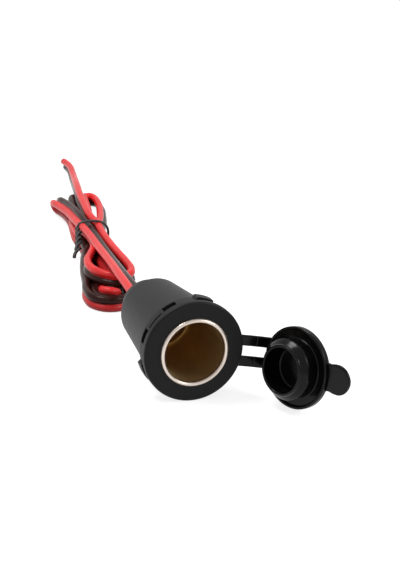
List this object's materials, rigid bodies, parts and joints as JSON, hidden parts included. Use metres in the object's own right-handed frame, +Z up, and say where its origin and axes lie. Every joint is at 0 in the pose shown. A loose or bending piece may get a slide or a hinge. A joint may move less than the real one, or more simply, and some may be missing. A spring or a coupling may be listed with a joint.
{
  "type": "car 12v power socket",
  "caption": "Round 12 V panel power socket with a flange, snap lugs, a metal barrel, a tethered rubber cap and a tied flat twin lead.",
  "frame": {"origin": "centre of the flange's front face, on the barrel's axis", "axes": "+Y along the barrel towards the lead, -Y out of the mouth, +Z up, +X towards the open cap"},
  "size_m": [0.0646, 0.344, 0.0361],
  "materials": {
    "housing_black": "fine matt moulding",
    "barrel_metal": "nickel plated, bright lip",
    "washer_board": "brown pressed board",
    "contact_brass": "bright brass",
    "tinned_metal": "tin plated",
    "cable_red": "soft satin vinyl",
    "cable_black": "soft satin vinyl",
    "cover_black": "fine matt moulding",
    "grommet_rubber": "matt",
    "cap_rubber": "glossy moulded rubber",
    "tie_black": "coated wire"
  },
  "bodies": {
    "socket": {"housing": "housing_black", "socket_shell": "barrel_metal", "inner_washer": "washer_board", "outer_washer": "washer_board", "centre_contact": "contact_brass", "positive_terminal": "contact_brass", "negative_terminal": "contact_brass", "positive_receptacle": "tinned_metal", "negative_receptacle": "tinned_metal", "red_inner_lead": "cable_red", "black_inner_lead": "cable_black", "rear_cover": "cover_black", "cable_grommet": "grommet_rubber", "lead_run": "cable_red", "lead_hank": "cable_red", "lead_tail": "cable_red", "twist_tie": "tie_black"},
    "tether": {"tether_ring": "cap_rubber"},
    "straps": {"tether_straps": "cap_rubber"},
    "cap": {"cap": "cap_rubber"}
  },
  "joints": [
    {"name": "tether_swivel", "type": "hinge", "parent": "socket", "child": "tether", "pos_m": [0, 0.00345, 0], "axis": [0, 1, 0], "continuous": true},
    {"name": "cap_swing", "type": "hinge", "parent": "tether", "child": "straps", "pos_m": [0.01838, 0.0019, -0.00209], "axis": [0.1132, 0, 0.9936], "range_deg": [-112, 60], "deforming": ["tether_straps"]},
    {"name": "cap_press", "type": "slide", "parent": "straps", "child": "cap", "axis": [-0.9212, -0.3746, 0.105], "range_m": [0, 0.0045]}
  ]
}
